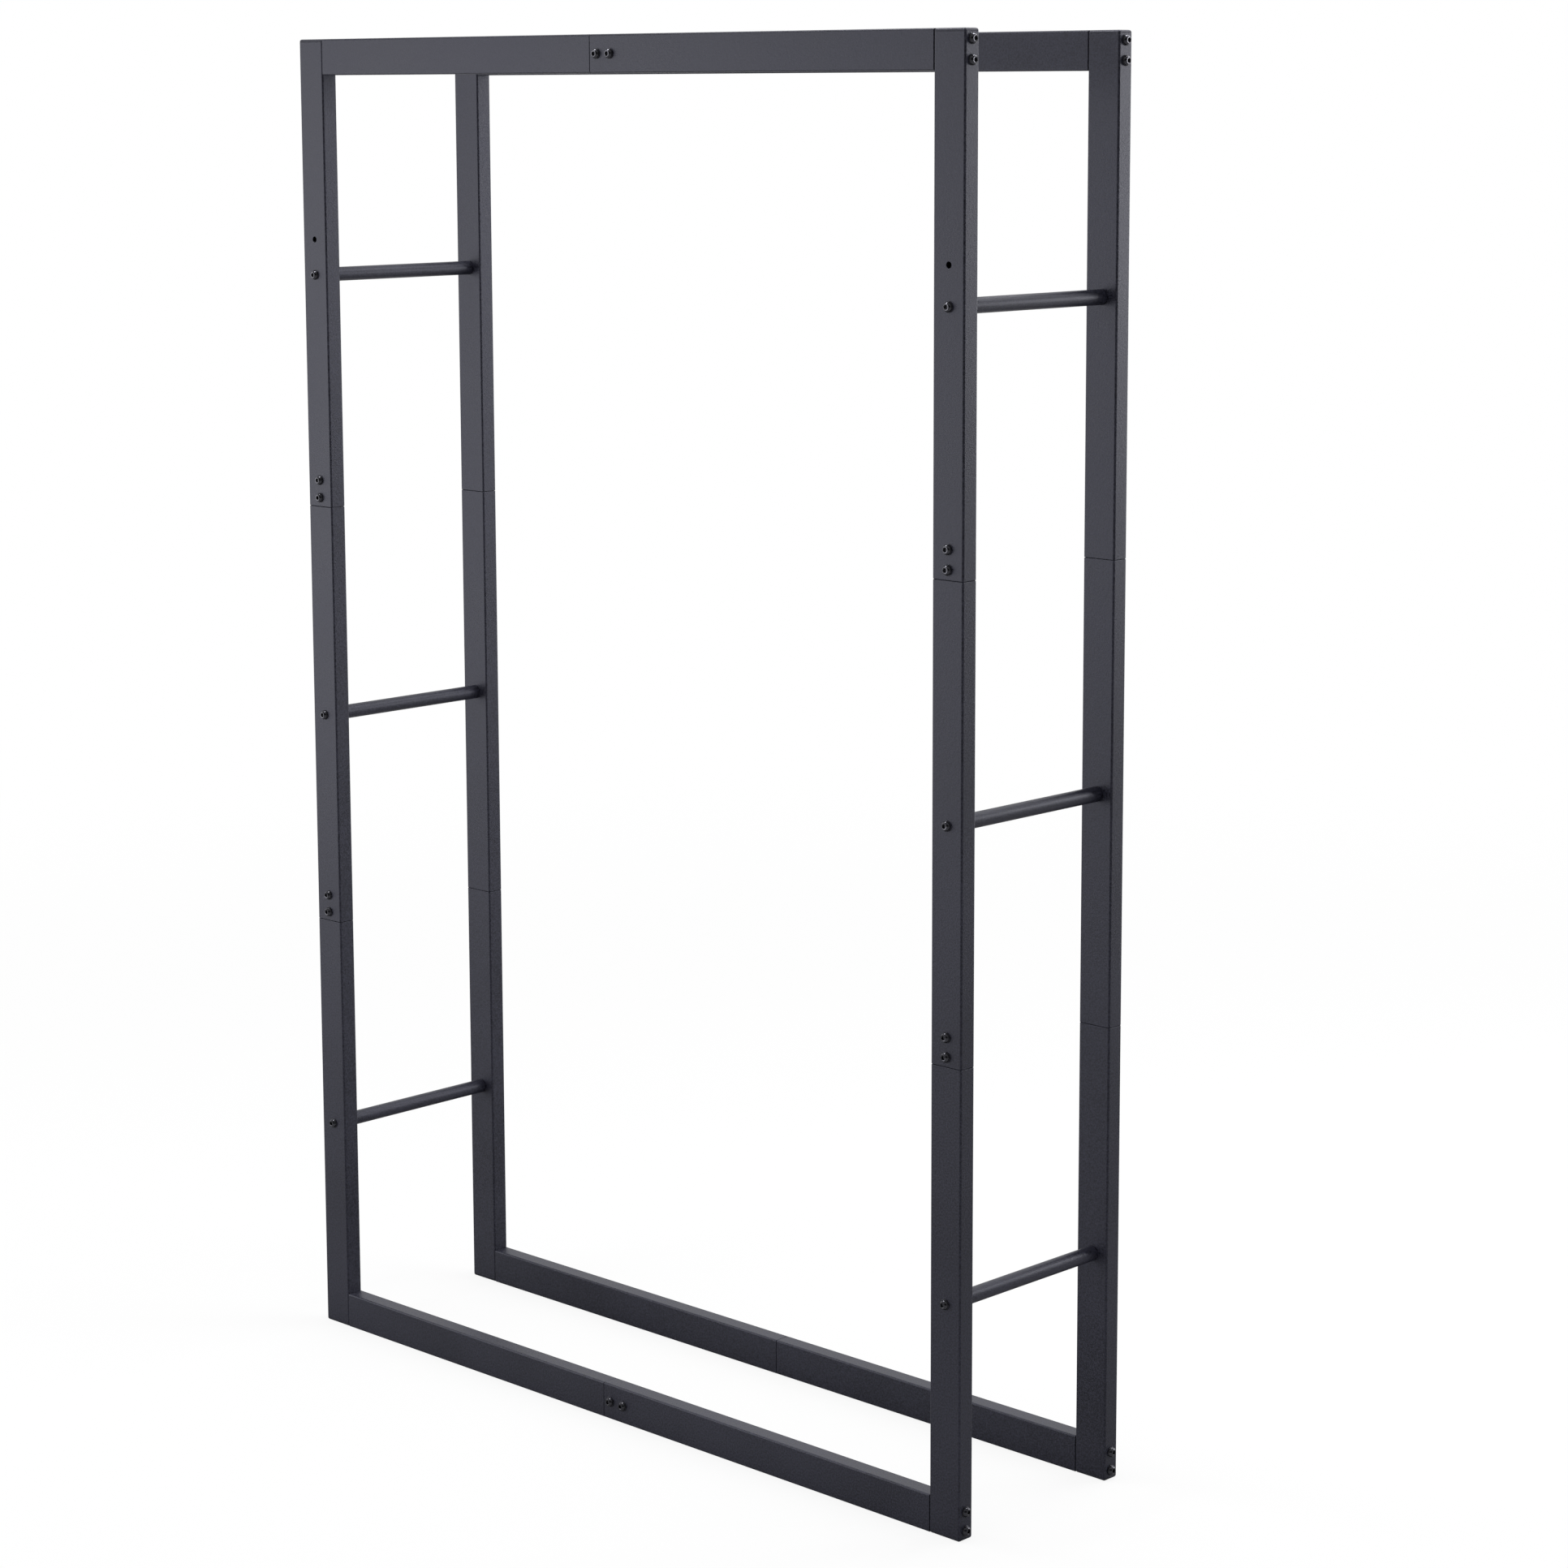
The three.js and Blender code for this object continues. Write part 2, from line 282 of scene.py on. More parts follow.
# %% Pale floor that keeps the shadow
FLOOR_HALF = 12.0
PAPER, SWEEP, SEEN = 0.27, 0.7, 0.65  # greys that light the rack, are mirrored and are seen
SWEEP_START, SWEEP_FULL = -0.5, -2.5  # metres forward, where the mirrored grey turns to SWEEP
GLOW = 0.86  # how much of what the camera sees by the rack is plain white
GLOW_START, GLOW_FULL = 1.0, 4.0  # metres from the rack's middle, where it turns all white


def new_material(name):
    """A material and its tree, emptied."""
    material = bpy.data.materials.new(name)
    material.use_nodes = True
    material.node_tree.nodes.clear()
    return material, material.node_tree


def blend(tree, factor, first, second):
    """A colour between two, each a colour of four numbers or a link."""
    settings = {"data_type": "RGBA"}
    return add(tree, "ShaderNodeMix", settings, {0: factor, 6: first, 7: second}, output=2)


def grey(level):
    return (level, level, level, 1)


def make_floor_paper():
    """Matt paper that is mixed with plain white where the camera looks at it."""
    material, tree = new_material("floor_paper")
    place = add(tree, "ShaderNodeTexCoord", output="Object")
    far = add(tree, "ShaderNodeVectorMath", {"operation": "LENGTH"}, {0: place}, "Value")
    glow = ease(tree, far, GLOW_START, GLOW_FULL, GLOW, 1.0)
    forward = distance_along(tree, place, direction_from(AZIMUTH))
    behind = ease(tree, forward, SWEEP_START, SWEEP_FULL, 0.0, 1.0)
    seen, glossy, passing = light_paths(tree)
    shade = blend(tree, glossy * behind, grey(PAPER), grey(SWEEP))
    shade = blend(tree, seen, shade, grey(SEEN))
    matt = add(tree, "ShaderNodeBsdfDiffuse", {}, {"Color": shade})
    white = add(tree, "ShaderNodeEmission", {}, {"Color": WHITE, "Strength": 1.0})
    shown = seen.most(passing) * glow
    mixed = add(tree, "ShaderNodeMixShader", {}, {0: shown, 1: matt, 2: white})
    add(tree, "ShaderNodeOutputMaterial", {}, {"Surface": mixed})
    return material


def make_floor(half):
    mesh = bpy.data.meshes.new("floor")
    corners = [(-half, -half, 0), (half, -half, 0), (half, half, 0), (-half, half, 0)]
    mesh.from_pydata(corners, [], [(0, 1, 2, 3)])
    mesh.materials.append(make_floor_paper())
    floor = bpy.data.objects.new("floor", mesh)
    scene.collection.objects.link(floor)


make_floor(FLOOR_HALF)
print("floor:", 2 * FLOOR_HALF, "m square")

# %% Four large soft lamps and two small ones overhead
LAMP_DISTANCE = 2.6  # from what a large lamp looks at
TOP_LAMP, TOP_RADIANCE = 0.45, 22.0


def soft_lamp(name, place, target, width, height, radiance):
    """A rectangular soft lamp. radiance is the brightness that a reflection of it has."""
    data = bpy.data.lights.new(name, "AREA")
    data.shape = "RECTANGLE"
    data.size, data.size_y = width, height
    data.energy = radiance * math.pi * width * height
    lamp = bpy.data.objects.new(name, data)
    lamp.location = place
    lamp.rotation_euler = (Vector(target) - Vector(place)).to_track_quat("-Z", "Y").to_euler()
    lamp.visible_camera = False
    scene.collection.objects.link(lamp)
    print(f"{name}: {data.energy:.0f} W")


# turn: degrees from the camera's side of the rack; slope: how steeply the lamp looks down; height:
# of what it looks at, over the floor
for name, turn, slope, height, size, radiance in (
    ("light_wall_left", -88, 0.0, 0.95, (1.60, 1.75), 2.2),
    ("light_wall_right", 98, 0.0, 1.42, (0.85, 1.00), 5.6),
    ("light_low_right", 115, 0.0, 0.50, (0.85, 0.85), 2.4),
    ("light_high_back", 120, 0.86, 1.00, (1.50, 1.20), 2.4),
):
    target = Vector((0, 0, height))
    away = direction_from(AZIMUTH + math.radians(turn), slope) * LAMP_DISTANCE
    soft_lamp(name, target + away, target, *size, radiance)
for name, place in (
    ("light_top_left", (-0.60, -0.35, 3.0)),
    ("light_top_back", (0.45, 0.55, 3.0)),
):
    soft_lamp(name, Vector(place), middle(cad_box), TOP_LAMP, TOP_LAMP, TOP_RADIANCE)

# %% [markdown]
# ## Powder coat
# The tubes are steel, but what shows is the coating: a dry powder sprayed on and melted in an oven.
# It flows out satin matt, with a fine grain like a very smooth sandpaper, and under that a slower
# ripple that painters call orange peel. Both are far too small to model, so they are a bump in the
# shader, and the grain also changes how rough and how dark each speck is. A slow cloud of the same
# kind keeps one tube from looking exactly like the next.
#
# The colour is an anthracite grey with a little blue, mostly seen as gloss over a nearly black
# base. All patterns read Object coordinates, which are metres here, so a noise scale of 560 means
# grains about 1.8 mm apart.

# %% Patterns, and the shader they go into
def noise(tree, scale, detail=2.0, roughness=0.5):
    """Noise on Object coordinates, from 0 to 1, with scale in cells per metre."""
    place = add(tree, "ShaderNodeTexCoord", output="Object")
    sockets = {"Vector": place, "Scale": scale, "Detail": detail, "Roughness": roughness}
    return add(tree, "ShaderNodeTexNoise", {"noise_dimensions": "3D"}, sockets)


def swing(pattern, amount):
    """A pattern of 0 to 1 as a change of up to half the amount, down or up."""
    return (pattern - 0.5) * amount


def bump(tree, height, depth):
    """A bump whose height of 0 to 1 stands for that depth in metres."""
    return add(tree, "ShaderNodeBump", {}, {"Height": height, "Strength": 1.0, "Distance": depth})


def finish_material(material, colour, rough, surface, constants):
    """One Principled shader, with what varies over the surface and what doesn't."""
    tree = material.node_tree
    sockets = {"Base Color": colour, "Roughness": rough, "Normal": surface, **constants}
    shader = add(tree, "ShaderNodeBsdfPrincipled", {}, sockets)
    add(tree, "ShaderNodeOutputMaterial", {}, {"Surface": shader})
    print(material.name, "has", len(tree.nodes), "nodes")


# %% Powder coat
GRAIN, PEEL, CLOUD = 560, 300, 9  # cells per metre
COAT_DARK, COAT_LIGHT = (0.0005, 0.0005, 0.0029, 1), (0.0195, 0.0196, 0.0322, 1)
COAT_CONTRAST = 3.6  # how far the grain drives the colour from dark to light
COAT_ROUGH, GRAIN_ROUGH, CLOUD_ROUGH = 0.46, 0.30, 0.08  # the middle, and what each swings it by
CLOUD_SHARE, PEEL_SHARE = 0.2, 0.3  # of the colour and of the bump, where grain is the rest
COAT_DEPTH = 0.145 * MM
# The fine metal flakes in the powder mirror a little blue.
COAT_GLOSS = {"IOR": 1.575, "Specular Tint": (0.83, 0.84, 1.0, 1.0)}


def make_powder_coat():
    material, tree = new_material("powder_coat")
    grain = noise(tree, GRAIN, detail=1.5, roughness=0.6)
    peel = noise(tree, PEEL, detail=0.0)
    cloud = noise(tree, CLOUD)
    tone = swing(grain * (1 - CLOUD_SHARE) + cloud * CLOUD_SHARE, COAT_CONTRAST) + 0.5
    colour = blend(tree, tone, COAT_DARK, COAT_LIGHT)
    rough = COAT_ROUGH + swing(grain, GRAIN_ROUGH) + swing(cloud, CLOUD_ROUGH)
    surface = bump(tree, grain * (1 - PEEL_SHARE) + peel * PEEL_SHARE, COAT_DEPTH)
    finish_material(material, colour, rough, surface, COAT_GLOSS)
    return material


powder_coat = make_powder_coat()

# %% [markdown]
# ## Black screws, washers and plates
# The screws are M6 button heads, blackened and oiled: dark, but glossy enough to catch the lamps.
# A metal mirrors with its own colour, so the shader is fully metallic with a very dark grey, and
# needs no coat over it. The fine turning marks are a soft noise in its roughness and its bump, and
# the stain of the oil is a slower one in its colour. Washers and the plates inside the tubes are
# the same steel, each a little duller.

# %% Blackened steel
MARKS, STAIN = 2600, 420  # cells per metre
STEEL_DARK, STEEL_LIGHT = (0.75, 0.75, 0.88), (1.25, 1.25, 1.40)  # times the steel's own grey
MARKS_ROUGH, STAIN_ROUGH = 0.08, 0.06  # what each swings the roughness by
MARKS_DEPTH = 0.004 * MM


def make_black_steel(name, shade, rough):
    material, tree = new_material(name)
    marks = noise(tree, MARKS, detail=1.0)
    stain = noise(tree, STAIN)
    dark, light = ((*(shade * part for part in tint), 1) for tint in (STEEL_DARK, STEEL_LIGHT))
    colour = blend(tree, stain, dark, light)
    roughness = rough + swing(marks, MARKS_ROUGH) + swing(stain, STAIN_ROUGH)
    surface = bump(tree, marks, MARKS_DEPTH)
    finish_material(material, colour, roughness, surface, {"Metallic": 1.0})
    return material


screw_steel = make_black_steel("screw_steel", shade=0.085, rough=0.20)
washer_steel = make_black_steel("washer_steel", shade=0.09, rough=0.32)
plate_steel = make_black_steel("plate_steel", shade=0.10, rough=0.50)

# %% [markdown]
# ## Plastic for the plugs
# A plug closes the foot and the top of every post. It is polyethylene, dyed to match the coating so
# that it hardly shows, with a satin surface from a lightly sparked mould: its grain is finer than
# the coating's, its colour and its gloss are more even.

# %% Moulded plastic
SPARK, FLOW = 3200, 60  # cells per metre
PLASTIC_DARK, PLASTIC_LIGHT = (0.0090, 0.0092, 0.0152, 1), (0.0123, 0.0125, 0.0197, 1)
PLASTIC_ROUGH, SPARK_ROUGH, FLOW_ROUGH = 0.44, 0.14, 0.06  # the middle, and what each swings it by
SPARK_DEPTH = 0.012 * MM


def make_plastic():
    material, tree = new_material("moulded_plastic")
    spark = noise(tree, SPARK, detail=1.0)
    flow = noise(tree, FLOW)
    colour = blend(tree, flow, PLASTIC_DARK, PLASTIC_LIGHT)
    rough = PLASTIC_ROUGH + swing(spark, SPARK_ROUGH) + swing(flow, FLOW_ROUGH)
    finish_material(material, colour, rough, bump(tree, spark, SPARK_DEPTH), COAT_GLOSS)
    return material


moulded_plastic = make_plastic()

# %% [markdown]
# ## Wrapping a surface from rows
# Everything on this rack follows one rule. Its outline round the axis is fixed, a rounded
# rectangle or a circle, and what changes along the axis is only how far in from that outline the
# surface lies. So one set of nodes makes them all: a flat grid is rolled up round the Z axis, with
# one column for each point of the outline and one row for each step along the part. A row gives
# how far in and how high, written with the tree's own named inputs, so that a size can be changed
# on the finished modifier.
#
# A modelled bevel would do for one tube. The rule is used because the rack has twenty posts and
# rails, with and without a reduced end, and rungs and plugs that go with them, and all of these
# have to agree.

# %% Start and end of a Geometry Nodes tree
SHARP = math.radians(35)  # an edge that bends more than this stays crisp


def new_tree(name, sizes):
    """An empty tree with named inputs: points, sizes, holes and a material. Gives it and them."""
    tree = bpy.data.node_groups.new(name, "GeometryNodeTree")

    def new_socket(label, kind, in_out="INPUT"):
        return tree.interface.new_socket(label, in_out=in_out, socket_type="NodeSocket" + kind)

    new_socket("Points", "Geometry")
    for label, value in sizes.items():
        new_socket(label, "Float").default_value = value
    new_socket("Holes", "Object")
    new_socket("Material", "Material")
    new_socket("Geometry", "Geometry", in_out="OUTPUT")
    start = tree.nodes.new("NodeGroupInput")
    return tree, {socket.name: Value(socket) for socket in start.outputs if socket.name}


def end_tree(tree, geometry, material):
    """Shades smooth but for sharp edges, makes instances real and sets the material."""
    smooth = add(tree, "GeometryNodeSetShadeSmooth", {"domain": "FACE"}, {0: geometry})
    bend = add(tree, "GeometryNodeInputMeshEdgeAngle")
    sockets = {0: smooth, "Selection": bend > SHARP, "Shade Smooth": False}
    crisp = add(tree, "GeometryNodeSetShadeSmooth", {"domain": "EDGE"}, sockets)
    real = add(tree, "GeometryNodeRealizeInstances", {}, {0: crisp})
    coated = add(tree, "GeometryNodeSetMaterial", {}, {0: real, "Material": material})
    tree.links.new(coated.socket, tree.nodes.new("NodeGroupOutput").inputs[0])
    print(tree.name, "tree has", len(tree.nodes), "nodes")


# %% The grid that is rolled up
TOUCHING = 0.001 * MM  # points nearer than this become one, where the grid meets itself


def choose(tree, index, values):
    """The value whose place in the list is index."""
    sockets = dict(enumerate([index, *values]))
    settings = {"data_type": "FLOAT", "choices": len(values)}
    return add(tree, "GeometryNodeIndexSwitch", settings, sockets)


def wrap(tree, rows, columns, outline, ring=False):
    """A grid rolled up round Z. Each row is a list of numbers or Values, which outline(column,
    *row) turns into X, Y and Z. A ring joins its last row to its first, as in a hollow tube."""
    sockets = {"Size X": 1, "Size Y": 1, "Vertices X": len(rows) + ring, "Vertices Y": columns + 1}
    grid = add(tree, "GeometryNodeMeshGrid", {}, sockets)
    index = add(tree, "GeometryNodeInputIndex")
    row = (index / (columns + 1)).floor() % len(rows)
    column = (index % (columns + 1)) % columns
    picked = [choose(tree, row, values) for values in zip(*rows)]
    x, y, z = outline(column, *picked)
    place = add(tree, "ShaderNodeCombineXYZ", {}, {"X": x, "Y": y, "Z": z})
    rolled = add(tree, "GeometryNodeSetPosition", {}, {0: grid, "Position": place})
    joined = add(tree, "GeometryNodeMergeByDistance", {}, {0: rolled, "Distance": TOUCHING})
    return add(tree, "GeometryNodeFlipFaces", {}, {0: joined})


# %% The two outlines
CORNER_STEPS = 8
TUBE_COLUMNS = 4 * (CORNER_STEPS + 1)
ROUND_COLUMNS = 36
SIXTH = math.pi / 3  # of a turn, which is one side of a hexagon


def tube_outline(tree, face, side, corner, wall):
    """Rounded rectangle. A row is how far in, how high, and 1, or 0 for a point on the axis."""

    def outline(column, inset, height, spread):
        quarter = (column / (CORNER_STEPS + 1)).floor()
        angle = (quarter + (column % (CORNER_STEPS + 1)) / CORNER_STEPS) * (math.pi / 2)
        radius = corner - inset.least(wall)
        across = choose(tree, quarter, [1.0, -1.0, -1.0, 1.0]) * (face / 2 - inset - radius)
        along = choose(tree, quarter, [1.0, 1.0, -1.0, -1.0]) * (side / 2 - inset - radius)
        x, y = across + radius * angle.cos(), along + radius * angle.sin()
        return x * spread, y * spread, height

    return outline


def round_outline(column, radius, height, hexagon):
    """Circle. A row is how far out, how high, and how much of a hexagon it is, from 0 to 1."""
    angle = column * (2 * math.pi / ROUND_COLUMNS)
    facet = (angle % SIXTH) - SIXTH / 2
    flat = math.cos(SIXTH / 2) / facet.cos()
    reach = radius * (1 - hexagon + hexagon * flat)
    return reach * angle.cos(), reach * angle.sin(), height


# %% Rounded edges as rows
EDGE_STEPS, RIM_STEPS = 3, 4


def quarter_turn(steps=EDGE_STEPS):
    """Sine and cosine of each step of a quarter turn."""
    angles = [math.pi / 2 * step / steps for step in range(steps + 1)]
    return [(math.sin(angle), math.cos(angle)) for angle in angles]


def rise(inset, height, edge):
    """Rows of an edge that curves out from a flat end and up into a side."""
    return [(inset + edge * (1 - s), height + edge * (1 - c), 1.0) for s, c in quarter_turn()]


def fall(inset, height, edge):
    """Rows of an edge that curves from a side in to a flat top."""
    return [(inset + edge * (1 - c), height - edge * (1 - s), 1.0) for s, c in quarter_turn()]


# %% [markdown]
# ## Drilled holes
# Each tube is drilled before it is coated, and the coating rounds the rim of every hole. The drill
# here is a shape of its own, made by the same rows: straight for most of its length, then flaring
# out at the mouth in the curve of that rim. It is instanced on a cloud of points, one for each
# hole, that know which way they face, and the lot is cut from the tube in one boolean.

# %% Drill bits on points
FLARE = 0.75  # of the rim's width, which the bit has reached where it leaves the steel


def facing_points(name, seats):
    """A helper object: one loose point for each (place, facing) pair."""
    mesh = bpy.data.meshes.new(name)
    mesh.from_pydata([place for place, _ in seats], [], [])
    facing = mesh.attributes.new("facing", "FLOAT_VECTOR", "POINT")
    for i, (_, way) in enumerate(seats):
        facing.data[i].vector = way
    helper = bpy.data.objects.new(name, mesh)
    scene.collection.objects.link(helper)
    return helper


def on_points(tree, points, shape, turn=0.0):
    """The shape on every point, with its Z axis the way the point faces, turned about it."""
    settings = {"data_type": "FLOAT_VECTOR"}
    way = add(tree, "GeometryNodeInputNamedAttribute", settings, {"Name": "facing"})
    aim = add(tree, "FunctionNodeAlignRotationToVector", {"axis": "Z"}, {"Vector": way})
    spin = add(tree, "FunctionNodeAxisAngleToRotation", {}, {"Axis": (0, 0, 1), "Angle": turn})
    sockets = {"Rotation": aim, "Rotate By": spin}
    rotation = add(tree, "FunctionNodeRotateRotation", {"rotation_space": "LOCAL"}, sockets)
    sockets = {"Points": points, "Instance": shape, "Rotation": rotation}
    return add(tree, "GeometryNodeInstanceOnPoints", {}, sockets)


def drilled(tree, solid, inputs):
    """The solid with a hole at each point of the Holes object."""
    radius, rim, depth = inputs["Hole diameter"] / 2, inputs["Hole rim"], inputs["Hole depth"]
    rows = [(0.0, -1 * depth, 0.0), (radius, -1 * depth, 0.0)]
    rows += [(radius + rim * (1 - c), rim * (s - 1), 0.0) for s, c in quarter_turn(RIM_STEPS)[:-1]]
    rows += [(radius + rim * FLARE, rim, 0.0), (0.0, rim, 0.0)]
    bit = wrap(tree, rows, ROUND_COLUMNS, round_outline)
    seats = add(tree, "GeometryNodeObjectInfo", {}, {"Object": inputs["Holes"]}, "Geometry")
    bits = add(tree, "GeometryNodeRealizeInstances", {}, {0: on_points(tree, seats, bit)})
    settings = {"operation": "DIFFERENCE", "solver": "EXACT"}
    return add(tree, "GeometryNodeMeshBoolean", settings, {0: solid, 1: bits})


# %% [markdown]
# ## From a tree to a plain mesh
# The tree runs as a modifier on an empty helper mesh. Its inputs are set by their identifiers
# before it runs for the first time. Weighted Normal follows it, so that big flat faces stay
# flat-looking right up to their rounded corners. The result is kept as a plain mesh in its final
# place, and the helper and its modifiers go.

# %% Run a tree
def run_tree(tree, sizes, material, points=(), holes=None):
    """The mesh that a tree makes with these sizes, on these (place, facing) points."""
    helper = facing_points("helper", points)
    nodes = helper.modifiers.new("nodes", "NODES")
    nodes.node_group = tree
    wanted = {**sizes, "Holes": holes, "Material": material}
    for item in tree.interface.items_tree:
        if item.in_out == "INPUT" and wanted.get(item.name) is not None:
            nodes[item.identifier] = wanted[item.name]
    normals = helper.modifiers.new("normals", "WEIGHTED_NORMAL")
    normals.keep_sharp = True
    bpy.context.view_layer.update()
    graph = bpy.context.evaluated_depsgraph_get()
    mesh = bpy.data.meshes.new_from_object(helper.evaluated_get(graph), depsgraph=graph)
    bpy.data.objects.remove(helper)
    return mesh


def add_piece(name, mesh, nodes, place=None):
    """A finished piece that rides on the frame and stands for some of its CAD nodes."""
    if place is not None:
        mesh.transform(place)
    mesh.name = name
    piece = bpy.data.objects.new(name, mesh)
    scene.collection.objects.link(piece)
    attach(piece, "root")
    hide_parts(*nodes)


# %% [markdown]
# ## Posts and rails
# A plain tube is a ring of rows: up the outside, over the cut end, down the bore and back. A
# splice tube is the same, but its upper end has been squeezed in a die so that it slips into the
# next tube. The shoulder left by the die meets the next tube's rounded end, and the two make the
# thin groove that shows as a seam.

# %% Trees for a plain tube and a splice tube
TUBE_SIZES = {
    "Length": 500 * MM,
    "Face": FACE,
    "Side": SIDE,
    "Corner": CORNER,
    "Wall": WALL,
    "End rounding": 0.35 * MM,
    "Hole diameter": 6.6 * MM,
    "Hole rim": 0.35 * MM,
    "Hole depth": 8.0 * MM,
}
SPIGOT = 40 * MM
SHOULDER = 0.8 * MM
BURR = 0.4  # the bevel inside a cut end, as a part of the rounding outside


def tube_tree(name, spigot):
    sizes = dict(TUBE_SIZES)
    if spigot:
        sizes.update({"Spigot": SPIGOT, "Shoulder": SHOULDER, "Play": GAP})
    tree, inputs = new_tree(name, sizes)
    length, wall, edge = inputs["Length"], inputs["Wall"], inputs["End rounding"]
    burr = edge * BURR
    rows = rise(0.0, 0.0, edge)
    if spigot:
        neck = length - inputs["Spigot"]
        shoulder = inputs["Shoulder"]
        small = wall + inputs["Play"]
        slope = neck - shoulder
        rows.append((0.0, slope, 1.0))
        bend = quarter_turn(RIM_STEPS)[1:-1]
        rows += [(small * (1 - c), slope + shoulder * s, 1.0) for s, c in bend]
        rows.append((small, neck, 1.0))
        rows += fall(small, length, edge)
        bore = small + wall
        rows += [(bore - burr, length, 1.0), (bore, length - burr, 1.0)]
        rows += [(bore, neck - wall, 1.0), (wall, slope - wall, 1.0)]
    else:
        rows += fall(0.0, length, edge)
        rows += [(wall - burr, length, 1.0), (wall, length - burr, 1.0)]
    rows += [(wall, burr, 1.0), (wall - burr, 0.0, 1.0)]
    outline = tube_outline(tree, inputs["Face"], inputs["Side"], inputs["Corner"], wall)
    tube = wrap(tree, rows, TUBE_COLUMNS, outline, ring=True)
    end_tree(tree, drilled(tree, tube, inputs), inputs["Material"])
    return tree


plain_tube = tube_tree("plain_tube", spigot=False)
splice_tube = tube_tree("splice_tube", spigot=True)

# %% [markdown]
# ## Where every screw goes
# The frame already says it. Each splice, corner and rung fixing is a node with a box of its own, so
# a screw's seat is the middle of that box, moved out to the face of the tube. The same list later
# drills the tubes, seats the washers and places the plates, so a screw can't miss its hole.

# %% Seats on the outer faces
FRONT, BACK = Vector((0, -1, 0)), Vector((0, 1, 0))
RIGHT, UP = Vector((1, 0, 0)), Vector((0, 0, 1))
PAIR = (-PITCH / 2, PITCH / 2)  # the two screws of a fixing, from its middle
half_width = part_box("post_front_right_lower")[1].x
half_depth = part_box("post_back_left_lower")[1].y
node_names = sorted(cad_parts)


def nodes_named(*starts):
    return [name for name in node_names if name.startswith(starts)]


def centre_of(name):
    return middle(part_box(name))


def facing_of(name):
    """Which way the screws of a fixing face: corners to the sides, the others to front or back."""
    if name.startswith("corner"):
        return RIGHT if "right" in name else -RIGHT
    return BACK if "back" in name else FRONT


def along_of(name):
    """Which way the tube runs that a pair of screws goes into, and so which way the pair lies."""
    return RIGHT if name.startswith("splice_rail") else UP


def seat(place, way):
    """The point moved along a way, which is square to a face of the rack, onto that face."""
    return Vector((
        way.x * half_width if way.x else place.x,
        way.y * half_depth if way.y else place.y,
        place.z,
    ))


def seats_of(name):
    """(place, facing) of each screw of a fixing."""
    way, place = facing_of(name), centre_of(name)
    if name.startswith("rung"):
        return [(seat(place, way), way)]
    return [(seat(place + along_of(name) * step, way), way) for step in PAIR]


def back_seat(name):
    """The seat at the back end of a rung."""
    return seat(centre_of(name), BACK), BACK


splice_seats = [s for name in nodes_named("splice") for s in seats_of(name)]
corner_seats = [s for name in nodes_named("corner") for s in seats_of(name)]
rung_tubes = [name for name in nodes_named("rung") if "bolt" not in name]
rung_seats = [s for name in nodes_named("rung_bolt") for s in seats_of(name)]
rung_seats += [back_seat(name) for name in rung_tubes]
print("screws at splices, corners, rungs:", len(splice_seats), len(corner_seats), len(rung_seats))

# %% Holes of one tube, in its own frame
SPARE_HOLE_ABOVE_RUNG = 40 * MM
SLACK = 0.5 * MM  # how far a place may be outside a box, or beside a level, and still count
upper_rungs = centre_of("rung_left_upper").z
spare_seats = [
    (place + UP * SPARE_HOLE_ABOVE_RUNG, way)
    for place, way in rung_seats
    if abs(place.z - upper_rungs) < SLACK
]
one_wall = splice_seats + spare_seats
two_walls = corner_seats + rung_seats
print("holes through one wall and through both:", len(one_wall), len(two_walls))


def inside(box, place):
    return all(box[0][i] - SLACK < place[i] < box[1][i] + SLACK for i in range(3))


def holes_of(name, place, spigot):
    """(place, facing) of every hole of a tube, before the tube is put in its place."""
    box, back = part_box(name), place.inverted()
    length = max(box[1] - box[0])
    found = []
    for point, way in one_wall + two_walls:
        if not inside(box, point):
            continue
        local, outward = back @ point, back.to_3x3() @ way
        if spigot and local.z > length - SPIGOT:
            local = local - outward * (WALL + GAP)
        found.append((local, outward))
        if (point, way) in two_walls:
            across = FACE if abs(outward.x) > 0.5 else SIDE
            found.append((local - outward * across, -outward))
    return found


# %% Put a tube in its place
def post_place(name):
    """Standing on its lower end, with its outer face turned to the front or to the back."""
    low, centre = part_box(name)[0], centre_of(name)
    turn = Matrix.Rotation(math.pi if "back" in name else 0, 4, "Z")
    return Matrix.Translation((centre.x, centre.y, low.z)) @ turn


def rail_place(name):
    """Lying along X. In the back frame everything is turned half a turn about Z."""
    (low, high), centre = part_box(name), centre_of(name)
    start, turn = (high.x, math.pi) if "back" in name else (low.x, 0)
    upright = Matrix.Translation((start, centre.y, centre.z)) @ Matrix.Rotation(turn, 4, "Z")
    return upright @ Matrix.Rotation(math.pi / 2, 4, "Y")


def rung_place(name):
    """Lying along Y, between the inner faces of a front post and a back post."""
    centre, start = centre_of(name), -half_depth + SIDE + GAP
    return Matrix.Translation((centre.x, start, centre.z)) @ Matrix.Rotation(-math.pi / 2, 4, "X")


# %% Make the posts and the rails
def add_tube(name, place, spigot):
    low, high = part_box(name)
    holes = facing_points("holes", holes_of(name, place, spigot))
    tree = splice_tube if spigot else plain_tube
    mesh = run_tree(tree, {"Length": max(high - low)}, powder_coat, holes=holes)
    print(name, "has", len(holes.data.vertices), "holes and", len(mesh.polygons), "faces")
    bpy.data.objects.remove(holes)
    add_piece(name + "_tube", mesh, [name], place)


for name in nodes_named("post"):
    add_tube(name, post_place(name), spigot=not name.endswith("upper"))
for name in nodes_named("rail"):
    first = "left" if "front" in name else "right"
    add_tube(name, rail_place(name), spigot=name.endswith(first))

